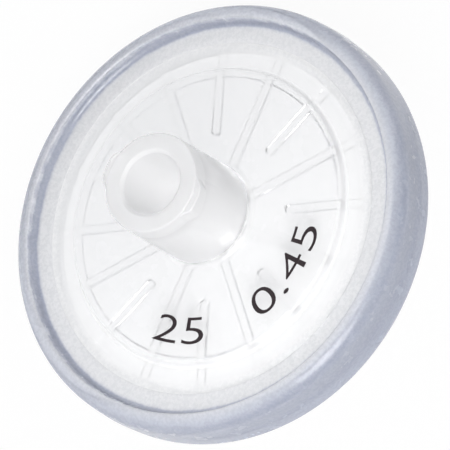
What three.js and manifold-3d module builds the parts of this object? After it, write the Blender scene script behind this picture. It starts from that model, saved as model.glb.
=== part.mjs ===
// A disposable 25 mm syringe filter: an inlet housing with a female Luer lock, an outlet housing with a
// male Luer tip, the membrane between them, and the sealing ring that is moulded round both flanges.
// Millimetres. Each piece is drawn on the filter's own axis: +Z points out of the inlet, and z = 0 is
// the membrane's inlet face. The whole filter then leans over, as it lies on a table.

import * as THREE from "three";
import { mergeVertices } from "three/addons/utils/BufferGeometryUtils.js";
import Module from "manifold-3d";

const wasm = await Module();
wasm.setup();

const { degToRad, radToDeg } = THREE.MathUtils;

// ---- Driving dimensions ----------------------------------------------------------------------------

const seam = 0.1; // left between a piece and the one it is moulded round, sealed to or pressed on
const overlap = 0.3; // depth that one form reaches into the next where both are one moulding

// The disc sets the size across of all that is round it.
const membrane = { radius: 11.8, thickness: 0.2 };

// The space that the two housings close round the membrane. headroom is over the membrane at its edge,
// and sideWall is from the chamber out to the ring's lip.
const chamber = { clearance: 0.4, headroom: 0.19, sideWall: 0.23, parting: -0.1 };

// The sealing ring, from the inside out: a lip over the flanges, a cove that rises from the face of the
// housing, a narrow land, a rounded corner and a wall that bulges to its parting line. It is the same
// above and below.
const ring = {
  height: 4.6,
  lipWidth: 0.87,
  lipThickness: 0.4,
  coveWidth: 0.5,
  coveDepth: 0.78,
  landWidth: 0.12,
  corner: 1.17,
  bulge: 0.06,
  gripWidth: 0.4, // from the cove's foot out to the flange's edge
};

const lid = {
  rimWidth: 1.93, // from the ring in to the raised middle
  raisedHeight: 0.7, // of the middle over the rim
  draft: 0.1,
  wall: 0.75,
  stepWall: 0.55,
  rimWall: 0.38,
};

// The female Luer bore, and the throat that leads on into the chamber.
const socket = { radius: 2.15, taper: 0.06, depth: 7.5, chamfer: 0.3, throatRadius: 1.4 };

// The hub round the bore. wall is at its mouth, and flare is how much wider its foot is.
const hub = { length: 7.5, wall: 1.35, flare: 0.1, fillet: 0.4, round: 0.15 };

// Two ears that a Luer lock's thread takes hold of. lead is the thread's advance in a turn.
const lug = { count: 2, depth: 0.43, arc: 51, rootHeight: 1.6, crestHeight: 1.15, lead: 5 };

// Every second rib is a long one. Their starts are measured out from the throat.
const rib = { count: 16, width: 0.63, longStart: 1, shortStart: 4.4 };

const base = {
  wall: 1.2,
  drainDepth: 0.4, // of the channels between the ribs that carry the membrane
  seatWidth: 0.9, // of the flat that the membrane's edge is sealed to
  skirtWidth: 0.5,
  draft: 0.12,
};

// The male Luer tip. radius is at its end.
const tip = { length: 7.6, radius: 1.97, taper: 0.06, bore: 1.05, round: 0.2 };

// The boss between the base and the tip. shoulder is the step round the tip, and flare is how much wider
// the boss's foot is than its end.
const boss = { length: 2.4, shoulder: 1.2, flare: 1, fillet: 0.6, round: 0.3 };

const facets = { disc: 72, hub: 48, bore: 32, corner: 5, cove: 3, round: 3, lug: 8 };

const ribTurn = degToRad(8.5); // from the way that the filter leans to the nearest long rib

// ---- Sizes that follow -----------------------------------------------------------------------------

const chamberRadius = membrane.radius + chamber.clearance;
const ledgeRadius = chamberRadius + chamber.sideWall;
const lipRadius = ledgeRadius + seam;
const coveFoot = lipRadius + ring.lipWidth;
const flangeRadius = coveFoot + ring.gripWidth;
const landInner = coveFoot + ring.coveWidth;
const cornerCentre = landInner + ring.landWidth;
const ringRadius = cornerCentre + ring.corner + ring.bulge;
const coveSweep = 2 * Math.atan2(ring.coveDepth, ring.coveWidth);
const coveRadius = ring.coveWidth / Math.sin(coveSweep);

const raisedFoot = ledgeRadius - lid.rimWidth;
const raisedRadius = raisedFoot - lid.draft;
const hubMouth = socket.radius + hub.wall;
const hubFoot = hubMouth + hub.flare;
const lugRadius = hubMouth + lug.depth;

const drainRadius = chamberRadius - base.seatWidth;
const skirtRadius = ledgeRadius - base.skirtWidth;
const tipRoot = tip.radius + (tip.taper / 2) * tip.length;
const bossRadius = tipRoot + boss.shoulder;

const rimUnder = chamber.headroom;
const rimTop = rimUnder + lid.rimWall;
const ringTop = rimTop + ring.coveDepth;
const ringBottom = ringTop - ring.height;
const rimBottom = ringBottom + ring.coveDepth;
const lidTop = rimTop + lid.raisedHeight;
const hubTop = lidTop + hub.length;
const seatTop = -membrane.thickness - seam;
const drainFloor = seatTop - base.drainDepth;
const baseBottom = drainFloor - base.wall;
const bossEnd = baseBottom - boss.length;
const tipEnd = bossEnd - tip.length;

const clearPolypropylene = new THREE.MeshStandardMaterial({
  color: 0xe9ebee,
  roughness: 0.35,
  metalness: 0,
});
const greyPolypropylene = new THREE.MeshStandardMaterial({
  color: 0xc4c9d6,
  roughness: 0.3,
  metalness: 0,
});
const ptfe = new THREE.MeshStandardMaterial({ color: 0xfbfbfa, roughness: 0.9, metalness: 0 });

// ---- Forms -----------------------------------------------------------------------------------------

/** A solid that can be joined and cut, from a closed geometry. */
function solidOf(geometry) {
  const bare = geometry.index ? geometry.toNonIndexed() : geometry.clone();
  bare.deleteAttribute("normal");
  bare.deleteAttribute("uv");
  const merged = mergeVertices(bare, 1e-5);
  const corners = merged.index.array;
  const faces = [];
  for (let i = 0; i < corners.length; i += 3) {
    const [a, b, c] = corners.slice(i, i + 3);
    if (a !== b && b !== c && c !== a) faces.push(a, b, c); // on the axis, a lathe's faces shrink to lines
  }
  return new wasm.Manifold(
    new wasm.Mesh({
      numProp: 3,
      vertProperties: merged.attributes.position.array,
      triVerts: Uint32Array.from(faces),
    }),
  );
}

/** A named mesh of a solid. */
function meshOf(name, solid, material) {
  const { vertProperties, triVerts } = solid.getMesh();
  const geometry = new THREE.BufferGeometry();
  geometry.setAttribute("position", new THREE.BufferAttribute(vertProperties, 3));
  geometry.setIndex(new THREE.BufferAttribute(triVerts, 1));
  const mesh = new THREE.Mesh(geometry, material);
  mesh.name = name;
  return mesh;
}

const joined = (solids) => solids.reduce((all, solid) => all.add(solid));

/** A section's points, [radius, z], on an arc between two angles in degrees. */
function arc(centre, z, radius, from, to, steps) {
  return Array.from({ length: steps + 1 }, (_, i) => {
    const angle = degToRad(from + ((to - from) * i) / steps);
    return [centre + radius * Math.cos(angle), z + radius * Math.sin(angle)];
  });
}

/**
 * The section turned round the Z axis. Its points go anticlockwise, and it either closes on itself or
 * starts and ends on the axis. A flat of the facetted round, not an edge, faces the table.
 */
function revolved(section, segments) {
  const points = section.map(([r, z]) => new THREE.Vector2(r, z));
  const onAxis = section[0][0] === 0;
  if (!onAxis) points.push(points[0]);
  const geometry = new THREE.LatheGeometry(points, segments, Math.PI / segments);
  return solidOf(geometry.rotateX(Math.PI / 2));
}

/** The section carried round the Z axis through part of a turn, rising by lead in each whole turn. */
function threaded(section, degrees, lead, steps) {
  const positions = [];
  for (let step = 0; step <= steps; step++) {
    const share = step / steps - 0.5;
    const angle = degToRad(degrees * share);
    const rise = (lead * degrees * share) / 360;
    for (const [r, z] of section) {
      positions.push(r * Math.cos(angle), r * Math.sin(angle), z + rise);
    }
  }
  const count = section.length;
  const faces = [];
  for (let step = 0; step < steps; step++) {
    for (let i = 0; i < count; i++) {
      const next = (i + 1) % count;
      const [a, b] = [step * count + i, step * count + next];
      faces.push(a, a + count, b + count, a, b + count, b);
    }
  }
  const outline = section.map(([r, z]) => new THREE.Vector2(r, z));
  for (const [a, b, c] of THREE.ShapeUtils.triangulateShape(outline, [])) {
    const end = steps * count;
    faces.push(a, b, c, end + a, end + c, end + b);
  }
  const geometry = new THREE.BufferGeometry();
  geometry.setAttribute("position", new THREE.Float32BufferAttribute(positions, 3));
  geometry.setIndex(faces);
  return solidOf(geometry);
}

/** A radial bar with a round inner end, between two heights. */
function radialBar(start, end, width, bottom, top) {
  const half = width / 2;
  const plan = new THREE.Shape();
  plan.moveTo(end, -half);
  plan.lineTo(end, half);
  plan.absarc(start + half, 0, half, Math.PI / 2, (Math.PI * 3) / 2, false);
  const geometry = new THREE.ExtrudeGeometry(plan, {
    depth: top - bottom,
    bevelEnabled: false,
    curveSegments: facets.round * 2,
  });
  return solidOf(geometry.translate(0, 0, bottom));
}

/** Long and short bars in turn, evenly round the axis. */
function ribs(end, bottom, top) {
  const bars = [];
  for (let i = 0; i < rib.count; i++) {
    const start = socket.throatRadius + (i % 2 ? rib.shortStart : rib.longStart);
    const bar = radialBar(start, end, rib.width, bottom, top);
    bars.push(bar.rotate([0, 0, (360 * i) / rib.count]));
  }
  return joined(bars);
}

// ---- Inlet housing ---------------------------------------------------------------------------------

/** The lid's outer form, filled down to the parting of the two housings. */
function lidForm() {
  const bottom = chamber.parting + seam / 2;
  const ledge = rimTop - ring.lipThickness - seam;
  return revolved(
    [
      [0, bottom],
      [flangeRadius, bottom],
      [flangeRadius, ledge],
      [ledgeRadius, ledge],
      [ledgeRadius, rimTop],
      [raisedFoot, rimTop],
      [raisedRadius, lidTop],
      [0, lidTop],
    ],
    facets.disc,
  );
}

/** The space under the lid, which follows its step. */
function lidSpace() {
  const stepInner = raisedRadius - lid.stepWall;
  const under = lidTop - lid.wall;
  return revolved(
    [
      [0, chamber.parting],
      [chamberRadius, chamber.parting],
      [chamberRadius, rimUnder],
      [stepInner + lid.draft, rimUnder],
      [stepInner, under],
      [0, under],
    ],
    facets.disc,
  );
}

/** The tapered hub, with a fillet at its foot and a rounded mouth. */
function hubForm() {
  const foot = hubFoot + hub.fillet;
  return revolved(
    [
      [0, lidTop - overlap],
      [foot, lidTop - overlap],
      ...arc(foot, lidTop + hub.fillet, hub.fillet, -90, -180, facets.corner),
      ...arc(hubMouth - hub.round, hubTop - hub.round, hub.round, 0, 90, facets.round),
      [0, hubTop],
    ],
    facets.hub,
  );
}

/** One ear of the Luer lock: a piece of thread, with its top cut level with the hub's mouth. */
function lugForm() {
  const rise = (lug.lead * lug.arc) / 360 / 2;
  const root = hubMouth - hub.round - overlap;
  const section = [
    [root, hubTop - lug.rootHeight],
    [lugRadius, hubTop - lug.crestHeight],
    [lugRadius, hubTop + rise],
    [root, hubTop + rise],
  ];
  const thread = threaded(section, lug.arc, lug.lead, facets.lug);
  return thread.trimByPlane([0, 0, -1], -hubTop);
}

/** What is cut out of the hub: the tapered socket and the throat under it. */
function socketSpace() {
  const bottom = hubTop - socket.depth;
  const bottomRadius = socket.radius - (socket.taper / 2) * socket.depth;
  const past = overlap;
  return revolved(
    [
      [0, seatTop],
      [socket.throatRadius, seatTop],
      [socket.throatRadius, bottom],
      [bottomRadius, bottom],
      [socket.radius, hubTop - socket.chamfer],
      [socket.radius + socket.chamfer, hubTop],
      [socket.radius + socket.chamfer, hubTop + past],
      [0, hubTop + past],
    ],
    facets.bore,
  );
}

function inletHousing() {
  const form = lidForm();
  const bars = ribs(chamberRadius + overlap, seam, lidTop).intersect(form);
  const lugs = [];
  for (let i = 0; i < lug.count; i++) {
    lugs.push(lugForm().rotate([0, 0, 90 + (360 * i) / lug.count]));
  }
  const solid = form.subtract(lidSpace()).add(bars).add(hubForm()).add(joined(lugs));
  return meshOf("inlet_housing", solid.subtract(socketSpace()), clearPolypropylene);
}

// ---- Outlet housing --------------------------------------------------------------------------------

/** The base's outer form, filled up to the seat of the membrane. */
function baseForm() {
  const top = chamber.parting - seam / 2;
  const ledge = rimBottom + ring.lipThickness + seam;
  return revolved(
    [
      [0, baseBottom],
      [skirtRadius - base.draft, baseBottom],
      [skirtRadius, rimBottom],
      [ledgeRadius, rimBottom],
      [ledgeRadius, ledge],
      [flangeRadius, ledge],
      [flangeRadius, top],
      [chamberRadius, top],
      [chamberRadius, seatTop],
      [0, seatTop],
    ],
    facets.disc,
  );
}

/** The drained space under the membrane. */
function drainSpace() {
  return revolved(
    [
      [0, drainFloor],
      [drainRadius, drainFloor],
      [drainRadius, 0],
      [0, 0],
    ],
    facets.disc,
  );
}

/** The boss under the base and the male Luer tip below it. */
function outletForm() {
  const foot = bossRadius + boss.flare + boss.fillet;
  return revolved(
    [
      [0, tipEnd],
      ...arc(tip.radius - tip.round, tipEnd + tip.round, tip.round, -90, 0, facets.round),
      [tipRoot, bossEnd],
      ...arc(bossRadius - boss.round, bossEnd + boss.round, boss.round, -90, 0, facets.round),
      ...arc(foot, baseBottom - boss.fillet, boss.fillet, 180, 90, facets.corner),
      [foot, baseBottom + overlap],
      [0, baseBottom + overlap],
    ],
    facets.hub,
  );
}

function outletBore() {
  const bottom = tipEnd - overlap;
  return revolved(
    [
      [0, bottom],
      [tip.bore, bottom],
      [tip.bore, 0],
      [0, 0],
    ],
    facets.bore,
  );
}

function outletHousing() {
  const form = baseForm();
  const bars = ribs(drainRadius + overlap, baseBottom, seatTop).intersect(form);
  const solid = form.subtract(drainSpace()).add(bars).add(outletForm());
  return meshOf("outlet_housing", solid.subtract(outletBore()), clearPolypropylene);
}

// ---- Membrane and sealing ring ---------------------------------------------------------------------

function membraneDisc() {
  const { radius, thickness } = membrane;
  const section = [
    [0, -thickness],
    [radius, -thickness],
    [radius, 0],
    [0, 0],
  ];
  return meshOf("membrane", revolved(section, facets.disc), ptfe);
}

function sealingRing() {
  const bottomCentre = ringBottom + ring.corner;
  const topCentre = ringTop - ring.corner;
  const sweep = radToDeg(coveSweep);
  const section = [
    [lipRadius, rimBottom],
    ...arc(coveFoot, rimBottom - coveRadius, coveRadius, 90, 90 - sweep, facets.cove),
    ...arc(cornerCentre, bottomCentre, ring.corner, -90, 0, facets.corner),
    [ringRadius, (ringTop + ringBottom) / 2],
    ...arc(cornerCentre, topCentre, ring.corner, 0, 90, facets.corner),
    ...arc(coveFoot, rimTop + coveRadius, coveRadius, sweep - 90, -90, facets.cove),
    [lipRadius, rimTop],
    [lipRadius, rimTop - ring.lipThickness],
    [flangeRadius + seam, rimTop - ring.lipThickness],
    [flangeRadius + seam, rimBottom + ring.lipThickness],
    [lipRadius, rimBottom + ring.lipThickness],
  ];
  return meshOf("sealing_ring", revolved(section, facets.disc), greyPolypropylene);
}

// ---- The filter as it lies -------------------------------------------------------------------------

/** The lean at which the ring's lower corner and the tip's end touch the table together. */
function restingLean() {
  const across = cornerCentre - (tip.radius - tip.round);
  const along = ringBottom + ring.corner - (tipEnd + tip.round);
  return Math.atan2(along, across) - Math.asin((ring.corner - tip.round) / Math.hypot(along, across));
}

/** Moves the group so that it stands on z = 0, with the middle of its box over the origin. */
function placedOnTable(group) {
  const box = new THREE.Box3().setFromObject(group, true);
  const middle = box.getCenter(new THREE.Vector3());
  group.position.set(-middle.x, -middle.y, -box.min.z);
  return group;
}

const housings = new THREE.Group();
housings.rotation.z = ribTurn;
housings.add(inletHousing(), outletHousing());

const filter = new THREE.Group();
filter.name = "syringe_filter";
filter.rotation.x = restingLean();
filter.add(housings, membraneDisc(), sealingRing());

export default placedOnTable(filter);
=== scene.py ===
"""A 25 mm syringe filter, lying on a pale table on the edge of its sealing ring and its outlet tip.

Sizes are in metres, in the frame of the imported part. Each piece is drawn on the filter's own axis, with
+Z out of the inlet and zero at the membrane's inlet face, and its object carries the lean.
"""

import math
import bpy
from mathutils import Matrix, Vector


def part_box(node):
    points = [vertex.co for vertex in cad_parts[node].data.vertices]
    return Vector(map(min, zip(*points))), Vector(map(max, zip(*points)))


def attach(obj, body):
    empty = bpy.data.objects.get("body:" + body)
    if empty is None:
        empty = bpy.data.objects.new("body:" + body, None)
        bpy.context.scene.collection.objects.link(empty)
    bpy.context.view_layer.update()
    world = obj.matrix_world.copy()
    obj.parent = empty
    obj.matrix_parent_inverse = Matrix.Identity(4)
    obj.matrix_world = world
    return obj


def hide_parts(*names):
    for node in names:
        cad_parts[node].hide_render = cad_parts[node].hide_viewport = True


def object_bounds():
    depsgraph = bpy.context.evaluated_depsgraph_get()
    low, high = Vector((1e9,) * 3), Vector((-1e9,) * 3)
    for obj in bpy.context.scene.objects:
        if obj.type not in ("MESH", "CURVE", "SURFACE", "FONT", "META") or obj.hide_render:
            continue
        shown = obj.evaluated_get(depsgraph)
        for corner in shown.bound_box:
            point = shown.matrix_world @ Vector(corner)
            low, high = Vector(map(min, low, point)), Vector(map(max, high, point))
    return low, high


bl_info = {
    "name": "Syringe filter",
    "version": (1, 0, 0),
    "blender": (4, 5, 0),
    "location": "View3D > Sidebar > Filter",
    "description": "Builds a syringe filter over its packed frame, with its finishes and a stage",
    "category": "Object",
}

import bmesh
import bpy
from bpy.props import FloatProperty, FloatVectorProperty, IntProperty, PointerProperty, StringProperty
from mathutils import Matrix, Vector

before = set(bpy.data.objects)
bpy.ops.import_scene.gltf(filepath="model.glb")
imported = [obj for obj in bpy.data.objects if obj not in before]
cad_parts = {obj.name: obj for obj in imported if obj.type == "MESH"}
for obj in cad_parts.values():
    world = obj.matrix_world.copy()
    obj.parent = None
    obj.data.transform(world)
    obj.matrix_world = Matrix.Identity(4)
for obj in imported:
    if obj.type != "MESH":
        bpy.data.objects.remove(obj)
cad_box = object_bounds()

MM = 0.001
HAIR = 0.004 * MM  # fine round edges stay this far inside the model's flat facets
SUNK = 0.1 * MM  # the least that a rib reaches into the walls that it joins
LUER_TAPER = 0.03  # of the radius over the length, which is the usual 6% on the diameter
FACETS = 192  # round the axis
RING_FACETS = 256  # round the sealing ring, which is the widest
CRISP = math.radians(32)  # edges that turn by more stay crisp


# ---- Sizes and colours -----------------------------------------------------------------------------


def length_of(name, description, millimetres):
    """A size that the sidebar shows in scene units."""
    return FloatProperty(
        name=name,
        description=description,
        default=millimetres * MM,
        min=0,
        subtype="DISTANCE",
        unit="LENGTH",
        precision=5,
    )


def place_of(name, description, millimetres):
    """A place, or a shift, of two or three lengths."""
    return FloatVectorProperty(
        name=name,
        description=description,
        default=[part * MM for part in millimetres],
        size=len(millimetres),
        subtype="XYZ",
        unit="LENGTH",
        precision=5,
    )


def angle_of(name, description, degrees):
    """An angle that the sidebar shows in degrees."""
    return FloatProperty(
        name=name, description=description, default=math.radians(degrees), subtype="ANGLE", unit="ROTATION"
    )


def colour_of(name, description, default):
    """A colour with its swatch."""
    return FloatVectorProperty(
        name=name, description=description, default=default, size=3, min=0, max=1, subtype="COLOR"
    )


class FilterSizes(bpy.types.PropertyGroup):
    """The sizes of the pieces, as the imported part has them."""

    seam: length_of("Seam", "Gap between neighbouring pieces", 0.1)
    membrane_radius: length_of("Membrane radius", "Out to the edge of the membrane", 11.8)
    membrane_thickness: length_of("Membrane thickness", "Of the membrane", 0.2)
    chamber_clearance: length_of("Chamber clearance", "From the membrane out to the chamber's side", 0.4)
    chamber_headroom: length_of("Chamber headroom", "Over the membrane at its edge", 0.19)
    rim_relief: length_of("Rim relief", "Taken off the rim's underside, so that it shows as one layer", 0.1)
    side_wall: length_of("Side wall", "From the chamber out to the ring's lip", 0.23)
    parting: length_of("Parting", "Depth of the housings' parting under the membrane's face", 0.1)
    ring_height: length_of("Ring height", "From land to land", 4.6)
    lip_width: length_of("Lip width", "Of the ring over the flange, in from the cove's foot", 0.87)
    lip_thickness: length_of("Lip thickness", "Of the ring over the flange", 0.4)
    cove_width: length_of("Cove width", "From the cove's foot out to the land", 0.5)
    cove_depth: length_of("Cove depth", "From the land down to the rim", 0.78)
    ring_corner: length_of("Ring corner", "Radius of the rounded corner", 1.17)
    ring_bulge: length_of("Ring bulge", "Of the wall at its parting line", 0.06)
    grip_width: length_of("Grip width", "From the cove's foot out to the flange's edge", 0.4)
    rim_width: length_of("Rim width", "From the ring in to the raised middle", 1.93)
    raised_height: length_of("Raised height", "Of the middle over the rim", 0.7)
    lid_draft: length_of("Lid draft", "Of the step, over its height", 0.1)
    lid_wall: length_of("Lid wall", "Of the raised middle", 0.75)
    step_wall: length_of("Step wall", "Round the raised middle", 0.55)
    rim_wall: length_of("Rim wall", "Of the rim", 0.38)
    hub_length: length_of("Hub length", "Of the inlet hub over the lid", 7.5)
    hub_wall: length_of("Hub wall", "Round the bore at the hub's mouth", 1.35)
    hub_flare: length_of("Hub flare", "How much wider the hub's foot is", 0.1)
    hub_fillet: length_of("Hub fillet", "At the hub's foot", 0.4)
    socket_radius: length_of("Socket radius", "Of the Luer bore at its mouth", 2.15)
    socket_depth: length_of("Socket depth", "Of the Luer bore", 7.5)
    socket_chamfer: length_of("Socket chamfer", "At the bore's mouth", 0.3)
    throat_radius: length_of("Throat radius", "From the bore into the chamber", 1.4)
    ear_depth: length_of("Ear depth", "Of the lock ears, out from the hub", 0.43)
    ear_root: length_of("Ear root height", "Of an ear at its root", 1.6)
    ear_crest: length_of("Ear crest height", "Of an ear at its crest", 1.15)
    ear_sink: length_of("Ear sink", "From the hub's mouth down to the ears' top", 0.12)
    ear_lead: length_of("Ear lead", "Advance of the thread in a turn", 5.0)
    ear_arc: angle_of("Ear arc", "Round the hub", 51)
    rib_width: length_of("Rib width", "Of each radial rib", 0.63)
    rib_round: length_of("Rib round", "Rounding of the ribs' free edges", 0.06)
    rib_gap: length_of("Rib gap", "Between the lid's ribs and the membrane", 0.02)
    rib_long: length_of("Long rib start", "From the throat out to the long ribs", 1.0)
    rib_short: length_of("Short rib start", "From the throat out to the short ribs", 4.4)
    rib_turn: angle_of("Rib turn", "From the lean to the nearest long rib", 8.5)
    rib_count: IntProperty(name="Ribs", description="Long and short ribs together", default=16, min=2)
    base_wall: length_of("Base wall", "Of the outlet housing's base", 1.2)
    drain_depth: length_of("Drain depth", "Between the ribs under the membrane", 0.4)
    seat_width: length_of("Seat width", "Of the flat under the membrane's edge", 0.9)
    skirt_width: length_of("Skirt width", "From the ring in to the base's side", 0.5)
    base_draft: length_of("Base draft", "Of the base's side, over its height", 0.12)
    boss_length: length_of("Boss length", "Of the boss under the base", 2.4)
    boss_shoulder: length_of("Boss shoulder", "The step round the tip", 1.2)
    boss_flare: length_of("Boss flare", "How much wider the boss's foot is", 1.0)
    tip_length: length_of("Tip length", "Of the Luer tip under the boss", 7.6)
    tip_radius: length_of("Tip radius", "At the Luer tip's end", 1.97)
    tip_bore: length_of("Tip bore", "Radius of the outlet's bore", 1.05)
    mark_radius: length_of("Mark radius", "From the axis to the foot of the printed numbers", 9.15)
    mark_height: length_of("Mark height", "Of the printed figures", 1.95)
    mark_film: length_of("Mark film", "Thickness of the ink", 0.012)
    mark_lift: length_of("Mark lift", "Of the ink off the lid", 0.002)


class FilterColours(bpy.types.PropertyGroup):
    """The colours of the plastics, the membrane, the ink and the table."""

    clear: colour_of("Clear plastic", "Of the two housings", (0.985, 0.985, 0.985))
    grey: colour_of("Grey plastic", "Of the sealing ring", (0.46, 0.49, 0.59))
    membrane: colour_of("Membrane", "Of the filter disc", (0.97, 0.97, 0.97))
    ink: colour_of("Ink", "Of the printed numbers", (0.016, 0.009, 0.011))
    table: colour_of("Table", "Of the surface that the filter lies on", (0.80, 0.80, 0.80))


class FilterStage(bpy.types.PropertyGroup):
    """The camera and the light."""

    camera_distance: length_of("Camera distance", "From the ring's land to the camera", 572.0)
    camera_lens: FloatProperty(name="Lens", description="Focal length", default=676.0, min=1, unit="CAMERA")
    camera_turn: angle_of("Camera turn", "About the upright", 120.23)
    camera_shift: place_of("Camera shift", "Of the camera to its right and up, off the ring", (1.375, -0.735))
    key_power: FloatProperty(
        name="Key light", description="Power of the key lamp", default=1.12, min=0, unit="POWER"
    )
    key_size: length_of("Key size", "Across the key lamp", 240.0)
    key_place: place_of("Key place", "Where the key lamp hangs", (150.0, 80.0, 370.0))
    key_aim: place_of("Key aim", "Where the key lamp points", (0.0, 0.0, 10.0))
    sky: FloatProperty(name="Sky", description="Strength of the light from all round", default=0.695, min=0)
    zenith: colour_of("Zenith", "Of the light from above", (1.0, 1.0, 1.0))
    horizon: colour_of("Horizon", "Of the light from the sides", (0.58, 0.60, 0.665))


# ---- Outlines and solids ---------------------------------------------------------------------------


def rounded(points, steps=4):
    """A closed outline of (radius, height, fillet) corners, with each corner rounded by its fillet."""
    outline = []
    count = len(points)
    for i, (r, z, fillet) in enumerate(points):
        corner = Vector((r, z))
        before = (Vector(points[i - 1][:2]) - corner).normalized()
        after = (Vector(points[(i + 1) % count][:2]) - corner).normalized()
        half = math.acos(max(-1.0, min(1.0, before.dot(after)))) / 2
        reach = fillet / math.tan(half)
        centre = corner + (before + after).normalized() * (fillet / math.sin(half))
        start = before * reach + corner - centre
        end = after * reach + corner - centre
        first = math.atan2(start.y, start.x)
        sweep = (math.atan2(end.y, end.x) - first + math.pi) % (2 * math.pi) - math.pi
        for step in range(steps + 1):
            turn = first + sweep * step / steps
            outline.append(centre + Vector((math.cos(turn), math.sin(turn))) * fillet)
    return outline


def bridged(first, second, steps=8):
    """Two runs of an outline made one, by a smooth curve from the end of the first to the second."""
    start, end = first[-1], second[0]
    leaving, arriving = start - first[-2], second[1] - end
    knee = start + leaving * ((end - start).cross(arriving) / leaving.cross(arriving))
    shares = (step / steps for step in range(1, steps))
    curve = [start * (1 - t) ** 2 + knee * 2 * t * (1 - t) + end * t**2 for t in shares]
    return [*first, *curve, *second]


def revolved(outline, segments):
    """The closed outline turned round the Z axis. A point on the axis makes one vertex."""
    on_axis = 1e-9
    shape = bmesh.new()
    rings = []
    for r, z in outline:
        if r < on_axis:
            rings.append([shape.verts.new((0, 0, z))] * segments)
            continue
        angles = (2 * math.pi * (i + 0.5) / segments for i in range(segments))
        rings.append([shape.verts.new((r * math.cos(a), r * math.sin(a), z)) for a in angles])
    for here, there in zip(rings, rings[1:] + rings[:1]):
        for i in range(segments):
            j = (i + 1) % segments
            corners = []
            for vert in (here[i], here[j], there[j], there[i]):
                if vert not in corners:
                    corners.append(vert)
            if len(corners) > 2:
                shape.faces.new(corners)
    bmesh.ops.recalc_face_normals(shape, faces=shape.faces)
    return shape


def swept(sections):
    """A closed solid through a row of outlines with as many points each."""
    shape = bmesh.new()
    rows = [[shape.verts.new(point) for point in section] for section in sections]
    for here, there in zip(rows, rows[1:]):
        for i in range(len(here)):
            j = (i + 1) % len(here)
            shape.faces.new((here[i], here[j], there[j], there[i]))
    shape.faces.new(rows[0])
    shape.faces.new(rows[-1])
    bmesh.ops.recalc_face_normals(shape, faces=shape.faces)
    return shape


def named_object(name, shape):
    """A new object in the scene that holds the shape."""
    mesh = bpy.data.meshes.new(name)
    shape.to_mesh(mesh)
    shape.free()
    item = bpy.data.objects.new(name, mesh)
    bpy.context.scene.collection.objects.link(item)
    return item


def joined(item, other):
    """Joins the other solid to the item, and uses it up."""
    modifier = item.modifiers.new("Solid", "BOOLEAN")
    modifier.operation = "UNION"
    modifier.object = other
    modifier.solver = "MANIFOLD"
    settled(item)
    bpy.data.objects.remove(other)


def settled(item):
    """Makes the item's modifiers part of its mesh."""
    graph = bpy.context.evaluated_depsgraph_get()
    mesh = bpy.data.meshes.new_from_object(item.evaluated_get(graph))
    item.modifiers.clear()
    old = item.data
    item.data = mesh
    bpy.data.meshes.remove(old)
    mesh.name = item.name


def bar(start, end, width, bottom, top, softening, steps=12):
    """A radial rib along +X with a round inner end and softened lower edges."""
    half = width / 2
    levels = [
        (bottom, softening),
        (bottom + softening * 0.3, softening * 0.3),
        (bottom + softening, 0),
        (top, 0),
    ]
    sections = []
    for height, inset in levels:
        reach = half - inset
        section = [(end, -reach, height), (end, reach, height)]
        for step in range(steps + 1):
            turn = math.pi / 2 + math.pi * step / steps
            section.append((start + half + reach * math.cos(turn), reach * math.sin(turn), height))
        sections.append(section)
    return swept(sections)


def ribs(sizes, name, end, bottom, top, upside_down=False):
    """Long and short ribs in turn, evenly round the axis, as one object."""
    shape = bmesh.new()
    for i in range(sizes.rib_count):
        start = sizes.throat_radius + (sizes.rib_short if i % 2 else sizes.rib_long)
        one = bar(start, end, sizes.rib_width, bottom, top, sizes.rib_round)
        if upside_down:
            flip = Matrix.Translation((0, 0, bottom + top)) @ Matrix.Diagonal((1, 1, -1, 1))
            bmesh.ops.transform(one, matrix=flip, verts=one.verts)
            bmesh.ops.reverse_faces(one, faces=one.faces)
        turn = Matrix.Rotation(2 * math.pi * i / sizes.rib_count, 4, "Z")
        bmesh.ops.transform(one, matrix=turn, verts=one.verts)
        mesh = bpy.data.meshes.new("rib")
        one.to_mesh(mesh)
        one.free()
        shape.from_mesh(mesh)
        bpy.data.meshes.remove(mesh)
    return named_object(name, shape)


def leaned():
    """Where the filter's own axes are in the frame, from the membrane's flat face."""
    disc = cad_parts["membrane"]
    axis = max(disc.data.polygons, key=lambda face: face.area).normal
    lean = math.atan2(abs(axis.y), abs(axis.z))
    low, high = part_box("membrane")
    turn = Matrix.Rotation(lean, 4, "X")
    sizes = bpy.context.scene.filter_sizes
    face = (low + high) / 2 + turn @ Vector((0, 0, sizes.membrane_thickness / 2))
    return Matrix.Translation(face) @ turn


def finished_piece(item, finish, node, turn=0.0):
    """Smooths the item, gives it its finish and its place, and lets it stand for its node."""
    item.data.polygons.foreach_set("use_smooth", [True] * len(item.data.polygons))
    item.data.set_sharp_from_angle(angle=CRISP)
    item.data.materials.clear()
    item.data.materials.append(finish)
    item.data.transform(leaned() @ Matrix.Rotation(turn, 4, "Z"))
    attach(item, "root")
    if node:
        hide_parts(node)


# ---- Finishes --------------------------------------------------------------------------------------


def arithmetic(operation):
    """An operator on wires as a node, as two methods: as it stands, and with the wire on the right."""

    def plain(wire, other):
        return wire.worked(operation, wire, other)

    def reflected(wire, other):
        return wire.worked(operation, other, wire)

    return plain, reflected


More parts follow.
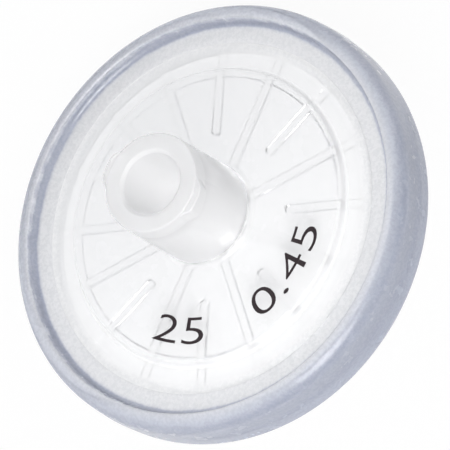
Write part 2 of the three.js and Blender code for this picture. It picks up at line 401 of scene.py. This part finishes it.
class Wire:
    """An output socket of a finish. Arithmetic on wires adds the nodes that work it out."""

    def __init__(self, finish, socket):
        self.finish = finish
        self.socket = socket

    def worked(self, operation, *values):
        """The values, put through a Math node, or a Vector Math node where one is a vector or a colour."""
        vectors = any(isinstance(v, Wire) and v.socket.type != "VALUE" for v in values)
        kind = "ShaderNodeVectorMath" if vectors else "ShaderNodeMath"
        return self.finish.node(kind, {"operation": operation}, dict(enumerate(values)))

    __add__, __radd__ = arithmetic("ADD")
    __sub__, __rsub__ = arithmetic("SUBTRACT")
    __mul__, __rmul__ = arithmetic("MULTIPLY")
    __truediv__, __rtruediv__ = arithmetic("DIVIDE")
    __pow__, __rpow__ = arithmetic("POWER")


class Finish:
    """The node tree of a material or of the world."""

    def __init__(self, owner):
        self.owner = owner
        owner.use_nodes = True
        self.tree = owner.node_tree
        self.tree.nodes.clear()

    def node(self, kind, settings=None, inputs=None, output=0):
        """A node of that kind, with its settings made first and then its sockets' values or wires."""
        made = self.tree.nodes.new(kind)
        for name, value in (settings or {}).items():
            if name == "stops":
                self._set_stops(made.color_ramp, value)
            else:
                setattr(made, name, value)
        for name, value in (inputs or {}).items():
            socket = made.inputs[name]
            if isinstance(value, Wire):
                self.tree.links.new(value.socket, socket)
            else:
                socket.default_value = value
        return Wire(self, made.outputs[output]) if made.outputs else None

    @staticmethod
    def _set_stops(ramp, stops):
        while len(ramp.elements) < len(stops):
            ramp.elements.new(1.0)
        for element, (position, shade) in zip(ramp.elements, stops):
            element.position = position
            element.color = shade if len(shade) == 4 else (*shade, 1.0)

    def place(self):
        """The place on the piece, in metres on the filter's own axes."""
        lean = leaned()
        return self.node(
            "ShaderNodeMapping",
            {"vector_type": "TEXTURE"},
            {
                "Vector": self.node("ShaderNodeTexCoord", output="Object"),
                "Location": lean.to_translation(),
                "Rotation": lean.to_euler(),
            },
        )

    def height(self, place):
        """How far along the filter's axis a point is."""
        return self.node("ShaderNodeSeparateXYZ", None, {"Vector": place}, output="Z")

    def radius(self, place):
        """How far from the filter's axis a point is."""
        flat = place * (1, 1, 0)
        return self.node("ShaderNodeVectorMath", {"operation": "LENGTH"}, {0: flat}, output="Value")

    def fade(self, value, start, end):
        """0 up to the start, 1 from the end, and smooth between them."""
        return self.node(
            "ShaderNodeMapRange",
            {"interpolation_type": "SMOOTHSTEP"},
            {"Value": value, "From Min": start, "From Max": end, "To Min": 0.0, "To Max": 1.0},
        )

    def noise(self, place, size, detail=3.0, roughness=0.55):
        """Cloudy noise whose patches are about that many metres across."""
        return self.node(
            "ShaderNodeTexNoise",
            None,
            {"Vector": place, "Scale": 1 / size, "Detail": detail, "Roughness": roughness},
        )

    def mixed(self, share, first, second):
        """A colour between two, by share."""
        return self.node(
            "ShaderNodeMix", {"data_type": "RGBA"}, {"Factor": share, 6: first, 7: second}, output=2
        )

    def bumped(self, height, distance, strength=1.0, under=None):
        """The normal over a height field that is distance metres deep."""
        inputs = {"Height": height, "Distance": distance, "Strength": strength}
        if under:
            inputs["Normal"] = under
        return self.node("ShaderNodeBump", None, inputs)

    def absorbed(self, shade, density):
        """A clear inside that darkens what is seen through it, by its thickness."""
        return self.node("ShaderNodeVolumeAbsorption", None, {"Color": rgba(shade), "Density": density})

    def output(self, surface, inside=None):
        """Ends the tree of a material and gives the material back."""
        ends = {"Surface": surface}
        if inside:
            ends["Volume"] = inside
        self.node("ShaderNodeOutputMaterial", None, ends)
        return self.owner


def rgba(shade):
    """A colour as a socket takes it."""
    return (*shade[:3], 1.0)


def see_through(
    finish, tint, normal, roughness, clearness, shade, glowing, bend, blur=0.1, inner=0.85, soft=0.0
):
    """Milky plastic: a veil on its outside over a clear body. Light passes to what lies behind it.

    The veil has the tint, the normal and the roughness, with soft as its subsurface share. It hides the
    body by what clearness lacks, and glows in the shade where light comes through from behind, by the
    glowing share. The body bends light by its index, bend, and blurs it. Seen from inside, the surface
    is clearer, by the inner share.
    """
    skin = finish.node(
        "ShaderNodeBsdfPrincipled",
        None,
        {
            "Base Color": tint,
            "Roughness": roughness,
            "IOR": 1.49,
            "Normal": normal,
            "Subsurface Weight": soft,
            "Subsurface Radius": (1.0, 1.0, 1.0),
            "Subsurface Scale": 1.5 * MM,
        },
    )
    glow = finish.node("ShaderNodeBsdfTranslucent", None, {"Color": rgba(shade), "Normal": normal})
    skin = finish.node("ShaderNodeMixShader", None, {0: glowing, 1: skin, 2: glow})
    inside = finish.node(
        "ShaderNodeBsdfPrincipled",
        None,
        {"Base Color": (1, 1, 1, 1), "Roughness": blur, "IOR": bend, "Transmission Weight": 1.0},
    )
    leaving = finish.node("ShaderNodeNewGeometry", output="Backfacing")
    clear = clearness + leaving * (1 - clearness) * inner
    seen = finish.node("ShaderNodeMixShader", None, {0: clear, 1: skin, 2: inside})
    shadow = finish.node("ShaderNodeLightPath", output="Is Shadow Ray")
    bounced = finish.node("ShaderNodeLightPath", output="Is Diffuse Ray")
    passed = finish.node("ShaderNodeBsdfTransparent", None, {"Color": (0.985, 0.985, 0.985, 1)})
    return finish.node("ShaderNodeMixShader", None, {0: shadow + bounced, 1: seen, 2: passed})


def clear_polypropylene():
    """Milky plastic: clearest in the lid's middle, cloudy at the rim, thick and warm in the hub, with painted
    shade inside the bore and under the lock ears.
    """
    sizes = bpy.context.scene.filter_sizes
    lv = Levels(sizes)
    shade = Vector(bpy.context.scene.filter_colours.clear)
    finish = Finish(bpy.data.materials.new("clear_polypropylene"))
    place = finish.place()
    clouds = finish.noise(place, 2.5 * MM)
    grain = finish.noise(place, 0.22 * MM, detail=2.0)
    radius = finish.radius(place)
    height = finish.height(place)

    hub = finish.fade(height, lv.lid_top - 0.07 * MM, lv.lid_top + 0.93 * MM)
    # painted shade: the inside of the bore is made darker, as shade in the hollow
    bore = hub - hub * finish.fade(radius, sizes.socket_radius - 0.1 * MM, sizes.socket_radius + 0.2 * MM)
    # painted shade: a dark band round the neck just under the lock ears, where their undersides shade it
    under_ears = finish.fade(height, lv.hub_top - 2.27 * MM, lv.hub_top - 1.37 * MM)
    at_ears = finish.fade(height, lv.hub_top - 1.32 * MM, lv.hub_top - 1.17 * MM)
    painted_neck_shade = (under_ears - at_ears) * finish.fade(radius, lv.hub_mouth - 0.5 * MM, lv.hub_mouth - 0.3 * MM)
    step = finish.fade(radius, lv.raised_foot - 0.3 * MM, lv.raised_foot)
    side = step - finish.fade(radius, lv.raised_foot + 0.05 * MM, lv.raised_foot + 0.25 * MM)
    before_corner = finish.fade(radius, lv.raised_foot - 0.75 * MM, lv.raised_foot - 0.6 * MM)
    past_corner = finish.fade(radius, lv.raised_foot - 0.35 * MM, lv.raised_foot - 0.2 * MM)
    corner = before_corner - past_corner
    rim = finish.fade(radius, lv.chamber_radius - 0.8 * MM, lv.chamber_radius)
    ribbed = (1 - finish.fade(height, lv.lid_under - 0.22 * MM, lv.lid_under - 0.02 * MM)) * (1 - step)

    tint = finish.mixed(clouds, rgba(shade * 0.985), rgba(shade))
    tint = finish.mixed(hub, tint, (1, 0.99, 0.988, 1))
    # painted shade inside the bore
    tint = finish.mixed(bore, tint, (0.92, 0.91, 0.91, 1))
    # painted shade under the ears
    tint = finish.mixed(painted_neck_shade * 0.6, tint, (0.72, 0.705, 0.71, 1))
    tint = finish.mixed(finish.fade(grain, 0.38, 0.62) * rim, tint, (0.86, 0.865, 0.875, 1))
    surface = see_through(
        finish,
        tint,
        normal=finish.bumped(grain, 0.003 * MM, 0.5, under=finish.bumped(clouds, 0.04 * MM, 0.5)),
        roughness=0.2 + clouds * 0.12 + hub * 0.25 - ribbed * 0.12,
        clearness=0.74 - step * 0.14 - rim * 0.22 - hub * 0.34 - side * 0.42,
        shade=shade,
        glowing=0.35 + hub * 0.08,
        bend=1.45,
        blur=0.1 + hub * 0.25 - ribbed * 0.08,
        inner=0.85 - corner * 0.5,
    )
    return finish.output(surface, finish.absorbed((0.4, 0.42, 0.45), 15))


def grey_polypropylene():
    """The sealing ring's plastic: white over the flanges, with a band of painted shade in the cove, and
    blue-grey outwards, partly the thick plastic's own tone and partly painted shade.
    """
    lv = Levels(bpy.context.scene.filter_sizes)
    shade = Vector(bpy.context.scene.filter_colours.grey)
    finish = Finish(bpy.data.materials.new("grey_polypropylene"))
    place = finish.place()
    clouds = finish.noise(place, 1.2 * MM)
    grain = finish.noise(place, 0.22 * MM, detail=2.0)
    radius = finish.radius(place)
    height = finish.height(place)

    lip = Vector((0.96, 0.96, 0.965))
    # Colour by radius: white over the flanges, then a dark band in the cove that is painted shade, then
    # blue-grey out to the outer wall, partly the thick plastic's own tone and partly painted shade where the
    # wall turns away.
    stops = [
        (0.00, lip),
        (0.34, lip * 0.9),
        (0.40, lip * 0.68 + shade * 0.27),
        (0.45, shade * 0.98),
        (0.56, shade * 0.84),
        (0.62, lip * 0.6 + shade * 0.35),
        (0.72, lip * 0.48 + shade * 0.5),
        (0.86, lip * 0.28 + shade * 0.7),
        (1.00, shade * 0.86),
    ]
    first = lv.ledge_radius + 0.07 * MM
    breadth = 2.5 * MM
    across = (radius - first + (clouds - 0.5) * 0.25 * MM) / breadth
    # the ramp carries the painted shade of the cove and of the outer wall
    ring_tone_and_painted_shade = finish.node("ShaderNodeValToRGB", {"stops": stops}, {"Fac": across})
    mottled = finish.mixed(finish.fade(grain, 0.38, 0.62), (0.89, 0.89, 0.90, 1), (1, 1, 1, 1))
    wall = finish.fade(radius, lv.cove_foot - 0.4 * MM, lv.cove_foot + 0.9 * MM)
    deep = 1 - finish.fade(height, lv.ring_bottom + 1.05 * MM, lv.ring_bottom + 3.05 * MM)
    surface = see_through(
        finish,
        ring_tone_and_painted_shade * mottled,
        normal=finish.bumped(grain, 0.018 * MM, 0.8, under=finish.bumped(clouds, 0.05 * MM, 0.5)),
        roughness=0.2 + clouds * 0.12,
        clearness=0.42 - wall * 0.1 - deep * 0.24,
        shade=shade,
        glowing=0.1,
        bend=1.49,
        soft=1.0,
    )
    return finish.output(surface, finish.absorbed((0.25, 0.3, 0.42), 120))


def membrane_white():
    """The membrane's dull, fine felted white."""
    finish = Finish(bpy.data.materials.new("ptfe_membrane"))
    place = finish.place()
    felt = finish.noise(place, 0.25 * MM, detail=6.0, roughness=0.7)
    shade = Vector(bpy.context.scene.filter_colours.membrane)
    tint = finish.mixed(felt, rgba(shade * 0.97), rgba(shade))
    surface = finish.node(
        "ShaderNodeBsdfPrincipled",
        None,
        {"Base Color": tint, "Roughness": 0.85 + felt * 0.1, "Normal": finish.bumped(felt, 0.02 * MM, 0.5)},
    )
    return finish.output(surface)


def printed_ink():
    """Dark pad-printing ink, a little thin here and there."""
    finish = Finish(bpy.data.materials.new("printed_ink"))
    place = finish.place()
    thin = finish.noise(place, 0.18 * MM, detail=4.0)
    shade = Vector(bpy.context.scene.filter_colours.ink)
    tint = finish.mixed(thin ** 2.0, rgba(shade), rgba(shade * 3))
    surface = finish.node(
        "ShaderNodeBsdfPrincipled",
        None,
        {"Base Color": tint, "Roughness": 0.4 + thin * 0.2, "Normal": finish.bumped(thin, 0.005 * MM, 0.5)},
    )
    return finish.output(surface)


def table_white():
    """A plain pale table that looks white to the camera and keeps a soft shadow."""
    finish = Finish(bpy.data.materials.new("table_white"))
    place = finish.place()
    cast = finish.noise(place, 40 * MM)
    shade = Vector(bpy.context.scene.filter_colours.table)
    tint = finish.mixed(cast, rgba(shade * 0.99), rgba(shade))
    plain = finish.node("ShaderNodeBsdfPrincipled", None, {"Base Color": tint, "Roughness": 0.9})
    seen = finish.node("ShaderNodeLightPath", output="Is Camera Ray")
    glossy = finish.node("ShaderNodeLightPath", output="Is Glossy Ray")
    through = finish.node("ShaderNodeLightPath", output="Is Transmission Ray")
    white = finish.node("ShaderNodeEmission", None, {"Color": (1, 1, 1, 1), "Strength": 1.0})
    share = (seen + glossy + through) * 0.92  # the rest shows the shadow
    return finish.output(finish.node("ShaderNodeMixShader", None, {0: share, 1: plain, 2: white}))


# ---- Pieces ----------------------------------------------------------------------------------------


class Levels:
    """Heights and radii that follow from the sizes, on the filter's own axis."""

    def __init__(self, s):
        low, high = cad_box
        self.chamber_radius = s.membrane_radius + s.chamber_clearance
        self.ledge_radius = self.chamber_radius + s.side_wall
        self.lip_radius = self.ledge_radius + s.seam
        self.cove_foot = self.lip_radius + s.lip_width
        self.flange_radius = self.cove_foot + s.grip_width
        self.ring_radius = (high[0] - low[0]) / 2
        self.corner_centre = self.ring_radius - s.ring_bulge - s.ring_corner
        self.raised_foot = self.ledge_radius - s.rim_width
        self.raised_radius = self.raised_foot - s.lid_draft
        self.step_inner = self.raised_radius - s.step_wall
        self.hub_mouth = s.socket_radius + s.hub_wall
        self.hub_foot = self.hub_mouth + s.hub_flare
        self.drain_radius = self.chamber_radius - s.seat_width
        self.skirt_radius = self.ledge_radius - s.skirt_width
        self.tip_root = s.tip_radius + LUER_TAPER * s.tip_length
        self.boss_radius = self.tip_root + s.boss_shoulder
        self.rim_top = s.chamber_headroom + s.rim_wall
        self.rim_under = s.chamber_headroom + s.rim_relief
        self.ring_top = self.rim_top + s.cove_depth
        self.ring_bottom = self.ring_top - s.ring_height
        self.rim_bottom = self.ring_bottom + s.cove_depth
        self.lid_top = self.rim_top + s.raised_height
        self.lid_under = self.lid_top - s.lid_wall
        self.hub_top = self.lid_top + s.hub_length
        self.seat_top = -s.membrane_thickness - s.seam
        self.drain_floor = self.seat_top - s.drain_depth
        self.base_bottom = self.drain_floor - s.base_wall
        self.boss_end = self.base_bottom - s.boss_length
        self.tip_end = self.boss_end - s.tip_length


class BuildInletHousing(bpy.types.Operator):
    """Build the lid with its ribs, the hub and its lock ears"""

    bl_idname = "filter.inlet_housing"
    bl_label = "Inlet housing"

    def execute(self, context):
        s = context.scene.filter_sizes
        lv = Levels(s)
        item = named_object("inlet_shell", revolved(rounded(self.outline(s, lv)), FACETS))
        to_wall = ribs(s, "lid_ribs", lv.chamber_radius + SUNK, s.rib_gap, lv.rim_top - SUNK)
        to_step = ribs(s, "lid_ribs", lv.step_inner + SUNK, s.rib_gap, lv.lid_under + 2 * SUNK)
        joined(item, to_wall)
        joined(item, to_step)
        for side in (math.pi / 2, math.pi * 3 / 2):
            joined(item, named_object("lock_ear", self.ear(s, lv, side)))
        finished_piece(item, clear_polypropylene(), "inlet_housing", s.rib_turn)
        return {"FINISHED"}

    @staticmethod
    def outline(s, lv):
        """The section of the lid, the hub and the bore without ribs and ears: radius, height and fillet."""
        bottom = s.seam / 2 - s.parting
        ledge = lv.rim_top - s.lip_thickness - s.seam
        chamfer = s.socket_chamfer * 0.8  # its fillets take the rest
        socket_bottom = lv.hub_top - s.socket_depth
        socket_end = s.socket_radius - LUER_TAPER * s.socket_depth
        return [
            (lv.chamber_radius, bottom, 0.04 * MM),
            (lv.flange_radius, bottom, 0.04 * MM),
            (lv.flange_radius, ledge, 0.04 * MM),
            (lv.ledge_radius, ledge, 0.05 * MM),
            (lv.ledge_radius, lv.rim_top, 0.01 * MM),
            (lv.raised_foot, lv.rim_top, 0.2 * MM),
            (lv.raised_radius, lv.lid_top, 0.25 * MM),
            (lv.hub_foot, lv.lid_top, s.hub_fillet),
            (lv.hub_mouth, lv.hub_top, 0.15 * MM),
            (s.socket_radius + chamfer, lv.hub_top, 0.12 * MM),
            (s.socket_radius, lv.hub_top - chamfer, 0.15 * MM),
            (socket_end, socket_bottom, 0.1 * MM),
            (s.throat_radius, socket_bottom, 0.06 * MM),
            (s.throat_radius, lv.lid_under, 0.08 * MM),
            (lv.step_inner, lv.lid_under, 0.08 * MM),
            (lv.step_inner + s.lid_draft, lv.rim_under, 0.08 * MM),
            (lv.chamber_radius, lv.rim_under, 0.08 * MM),
        ]

    @staticmethod
    def ear(s, lv, middle, steps=50):
        """One ear of the lock: a piece of thread, deepest round its middle, under the hub's mouth."""
        root = lv.hub_mouth - 0.4 * MM
        top = lv.hub_top - s.ear_sink
        level = 0.42  # the share of its arc that has the full depth
        fall = 0.97  # the share of the depth lost by its ends, which stay solid
        sections = []
        for step in range(steps + 1):
            share = step / steps - 0.5
            turn = middle + s.ear_arc * share
            rise = s.ear_lead * s.ear_arc * share / (2 * math.pi)
            ending = min(1.0, max(0.0, (abs(share) * 2 - level) / (1 - level)))
            crest = lv.hub_mouth + s.ear_depth * (1 - fall * ending * ending * (3 - 2 * ending))
            under = lv.hub_top - s.ear_crest + rise
            profile = [
                (root, lv.hub_top - s.ear_root + rise),
                (crest - 0.05 * MM, under - 0.02 * MM),
                (crest, under + 0.05 * MM),
                (crest, top - 0.08 * MM),
                (crest - 0.08 * MM, top),
                (root, top),
            ]
            sections.append([(r * math.cos(turn), r * math.sin(turn), z) for r, z in profile])
        return swept(sections)


class BuildOutletHousing(bpy.types.Operator):
    """Build the base with its drain ribs, the boss and the Luer tip"""

    bl_idname = "filter.outlet_housing"
    bl_label = "Outlet housing"

    def execute(self, context):
        s = context.scene.filter_sizes
        lv = Levels(s)
        item = named_object("outlet_shell", revolved(rounded(self.outline(s, lv)), FACETS))
        reach = lv.drain_radius + SUNK
        joined(item, ribs(s, "base_ribs", reach, lv.drain_floor - 3 * SUNK, lv.seat_top, upside_down=True))
        finished_piece(item, clear_polypropylene(), "outlet_housing", s.rib_turn)
        return {"FINISHED"}

    @staticmethod
    def outline(s, lv):
        """The section of the base, the boss and the tip without ribs: radius, height and fillet."""
        top = -s.parting - s.seam / 2
        ledge = lv.rim_bottom + s.lip_thickness + s.seam
        return [
            (s.tip_bore, lv.tip_end + HAIR, 0.08 * MM),
            (s.tip_radius, lv.tip_end + HAIR, 0.2 * MM),
            (lv.tip_root, lv.boss_end, 0.15 * MM),
            (lv.boss_radius, lv.boss_end, 0.3 * MM),
            (lv.boss_radius + s.boss_flare, lv.base_bottom, 0.6 * MM),
            (lv.skirt_radius - s.base_draft, lv.base_bottom, 0.15 * MM),
            (lv.skirt_radius, lv.rim_bottom, 0.15 * MM),
            (lv.ledge_radius, lv.rim_bottom, 0.04 * MM),
            (lv.ledge_radius, ledge, 0.05 * MM),
            (lv.flange_radius, ledge, 0.04 * MM),
            (lv.flange_radius, top, 0.04 * MM),
            (lv.chamber_radius, top, 0.02 * MM),
            (lv.chamber_radius, lv.seat_top, 0.03 * MM),
            (lv.drain_radius, lv.seat_top, 0.04 * MM),
            (lv.drain_radius, lv.drain_floor, 0.1 * MM),
            (s.tip_bore, lv.drain_floor, 0.1 * MM),
        ]


class BuildMembrane(bpy.types.Operator):
    """Build the membrane, pressed thin along its sealed edge"""

    bl_idname = "filter.membrane"
    bl_label = "Membrane"

    def execute(self, context):
        s = context.scene.filter_sizes
        bottom = -s.membrane_thickness
        pressed = bottom + s.membrane_thickness * 0.7
        edge = s.membrane_radius - s.seat_width
        slope = 0.2 * MM
        outline = [
            (0, bottom),
            (s.membrane_radius, bottom),
            (s.membrane_radius, pressed),
            (edge + slope / 2, pressed),
            (edge - slope / 2, 0),
            (0, 0),
        ]
        item = named_object("filter_disc", revolved(outline, FACETS))
        finished_piece(item, membrane_white(), "membrane")
        return {"FINISHED"}


class BuildSealingRing(bpy.types.Operator):
    """Build the ring that is moulded round both flanges"""

    bl_idname = "filter.sealing_ring"
    bl_label = "Sealing ring"

    def execute(self, context):
        s = context.scene.filter_sizes
        item = named_object("ring_moulding", revolved(self.outline(s, Levels(s)), RING_FACETS))
        finished_piece(item, grey_polypropylene(), "sealing_ring")
        return {"FINISHED"}

    @staticmethod
    def outline(s, lv):
        """The ring's section: the lips over the flanges, the coves, the round corners and the wall."""
        cove_sweep = 2 * math.atan2(s.cove_depth, s.cove_width)
        cove_round = s.cove_width / math.sin(cove_sweep)

        def arc(r, z, size, start, end, steps):
            angles = (start + (end - start) * i / steps for i in range(steps + 1))
            return [Vector((r + size * math.cos(a), z + size * math.sin(a))) for a in angles]

        quarter = math.pi / 2
        cove_end = quarter - cove_sweep * 0.8  # a smooth curve bridges what is left of the cove
        corner_end = quarter * 0.9  # and of the corner
        under = bridged(
            arc(lv.cove_foot, lv.rim_bottom - cove_round, cove_round, quarter, cove_end, 10),
            arc(lv.corner_centre, lv.ring_bottom + s.ring_corner, s.ring_corner - HAIR, -corner_end, 0, 14),
        )
        over = bridged(
            arc(lv.corner_centre, lv.ring_top - s.ring_corner, s.ring_corner, 0, corner_end, 14),
            arc(lv.cove_foot, lv.rim_top + cove_round, cove_round, -cove_end, -quarter, 10),
        )
        lip = lv.ledge_radius + HAIR
        inner = lv.flange_radius + s.seam
        return [
            Vector((lip, lv.rim_bottom)),
            *under,
            Vector((lv.ring_radius - HAIR / 4, (lv.ring_top + lv.ring_bottom) / 2)),
            *over,
            Vector((lip, lv.rim_top)),
            Vector((lip, lv.rim_top - s.lip_thickness)),
            Vector((inner, lv.rim_top - s.lip_thickness)),
            Vector((inner, lv.rim_bottom + s.lip_thickness)),
            Vector((lip, lv.rim_bottom + s.lip_thickness)),
        ]


class BuildMark(bpy.types.Operator):
    """Print plain numbers on the lid, on an arc round the hub"""

    bl_idname = "filter.mark"
    bl_label = "Printed numbers"

    text: StringProperty(name="Text", description="Plain numbers", default="25   0.45")
    start: angle_of("Start", "Where the first figure stands", 8)
    end: angle_of("End", "Where the last figure stands", 110)

    def execute(self, context):
        s = context.scene.filter_sizes
        shape = self.figures(context, s.mark_height)
        left = min(v.co.x for v in shape.verts)
        right = max(v.co.x for v in shape.verts)
        bottom = Levels(s).lid_top + s.mark_lift
        for vert in shape.verts:
            share = (vert.co.x - left) / (right - left)
            turn = self.start + (self.end - self.start) * share
            reach = s.mark_radius - vert.co.y
            vert.co = (reach * math.cos(turn), reach * math.sin(turn), bottom)
        made = bmesh.ops.extrude_face_region(shape, geom=shape.faces[:])
        for vert in (v for v in made["geom"] if isinstance(v, bmesh.types.BMVert)):
            vert.co.z += s.mark_film
        bmesh.ops.recalc_face_normals(shape, faces=shape.faces)
        finished_piece(named_object("printed_numbers", shape), printed_ink(), None)
        return {"FINISHED"}

    def figures(self, context, height):
        """The text as a flat shape on the X axis, in small faces that can be bent to an arc."""
        font_share = 0.7  # a figure's height over the font's size
        curve = bpy.data.curves.new("figures", "FONT")
        curve.body = self.text
        curve.size = height / font_share
        curve.resolution_u = 6
        curve.offset = -0.009 * curve.size  # thinner strokes
        item = bpy.data.objects.new("printed_numbers", curve)
        context.scene.collection.objects.link(item)
        graph = context.evaluated_depsgraph_get()
        mesh = bpy.data.meshes.new_from_object(item.evaluated_get(graph))
        bpy.data.objects.remove(item)
        shape = bmesh.new()
        shape.from_mesh(mesh)
        bpy.data.meshes.remove(mesh)
        bmesh.ops.remove_doubles(shape, verts=shape.verts, dist=0.002 * MM)
        bmesh.ops.triangulate(shape, faces=shape.faces)
        long_edges = [edge for edge in shape.edges if edge.calc_length() > 0.5 * MM]
        bmesh.ops.subdivide_edges(shape, edges=long_edges, cuts=2)
        return shape


# ---- Stage -----------------------------------------------------------------------------------------


class BuildStage(bpy.types.Operator):
    """Lay the table and set the camera, the lamp and the light from all round"""

    bl_idname = "filter.stage"
    bl_label = "Stage"

    def execute(self, context):
        scene = context.scene
        self.lay_table(scene)
        self.set_camera(scene)
        self.hang_lamp(scene)
        self.light_sky(scene)
        scene.view_settings.view_transform = "Standard"
        return {"FINISHED"}

    @staticmethod
    def lay_table(scene):
        shape = bmesh.new()
        bmesh.ops.create_grid(shape, x_segments=8, y_segments=8, size=600 * MM)
        table = named_object("table", shape)
        table.data.materials.append(table_white())

    @staticmethod
    def set_camera(scene):
        stage = scene.filter_stage
        turn = Matrix.Rotation(stage.camera_turn, 4, "Z")
        target = leaned() @ Vector((0, 0, Levels(scene.filter_sizes).ring_top))
        place = target + turn @ Vector((*stage.camera_shift, stage.camera_distance))
        data = bpy.data.cameras.new("camera")
        data.lens = stage.camera_lens
        data.sensor_width = 36
        data.clip_start = 0.05
        data.clip_end = 5
        camera = bpy.data.objects.new("camera", data)
        camera.matrix_world = Matrix.Translation(place) @ turn
        scene.collection.objects.link(camera)
        scene.camera = camera

    @staticmethod
    def hang_lamp(scene):
        stage = scene.filter_stage
        data = bpy.data.lights.new("key", "AREA")
        data.shape = "DISK"
        data.size = stage.key_size
        data.energy = stage.key_power
        lamp = bpy.data.objects.new("key", data)
        place = Vector(stage.key_place)
        aim = (Vector(stage.key_aim) - place).to_track_quat("-Z", "Y")
        lamp.matrix_world = Matrix.Translation(place) @ aim.to_matrix().to_4x4()
        scene.collection.objects.link(lamp)

    @staticmethod
    def light_sky(scene):
        stage = scene.filter_stage
        sky = Finish(bpy.data.worlds.new("soft_room"))
        way = sky.node("ShaderNodeTexCoord", output="Generated")
        height = sky.node("ShaderNodeSeparateXYZ", None, {"Vector": way}, output="Z")
        tint = sky.mixed(sky.fade(height, 0.0, 0.9), rgba(stage.horizon), rgba(stage.zenith))
        seen = sky.node("ShaderNodeLightPath", output="Is Camera Ray")
        room = sky.node("ShaderNodeBackground", None, {"Color": tint, "Strength": stage.sky})
        white = sky.node("ShaderNodeBackground", None, {"Color": (1, 1, 1, 1), "Strength": 1.0})
        mixed = sky.node("ShaderNodeMixShader", None, {0: seen, 1: room, 2: white})
        sky.node("ShaderNodeOutputWorld", None, {"Surface": mixed})
        scene.world = sky.owner


class FilterPanel(bpy.types.Panel):
    """The filter's pieces, sizes, colours and stage"""

    bl_idname = "VIEW3D_PT_filter"
    bl_label = "Syringe filter"
    bl_space_type = "VIEW_3D"
    bl_region_type = "UI"
    bl_category = "Filter"

    def draw(self, context):
        layout = self.layout
        for step in STEPS:
            layout.operator(step.bl_idname)
        scene = context.scene
        for group in (scene.filter_sizes, scene.filter_colours, scene.filter_stage):
            box = layout.box()
            for name in group.bl_rna.properties.keys():
                if name not in ("rna_type", "name"):
                    box.prop(group, name)


STEPS = (BuildInletHousing, BuildOutletHousing, BuildMembrane, BuildSealingRing, BuildMark, BuildStage)
CLASSES = (FilterSizes, FilterColours, FilterStage, *STEPS, FilterPanel)


def register():
    for cls in CLASSES:
        bpy.utils.register_class(cls)
    bpy.types.Scene.filter_sizes = PointerProperty(type=FilterSizes)
    bpy.types.Scene.filter_colours = PointerProperty(type=FilterColours)
    bpy.types.Scene.filter_stage = PointerProperty(type=FilterStage)


def unregister():
    del bpy.types.Scene.filter_stage
    del bpy.types.Scene.filter_colours
    del bpy.types.Scene.filter_sizes
    for cls in reversed(CLASSES):
        bpy.utils.unregister_class(cls)


def main():
    register()
    bpy.ops.filter.inlet_housing()
    bpy.ops.filter.outlet_housing()
    bpy.ops.filter.membrane()
    bpy.ops.filter.sealing_ring()
    bpy.ops.filter.mark()
    bpy.ops.filter.stage()


if __name__ == "__main__":
    main()
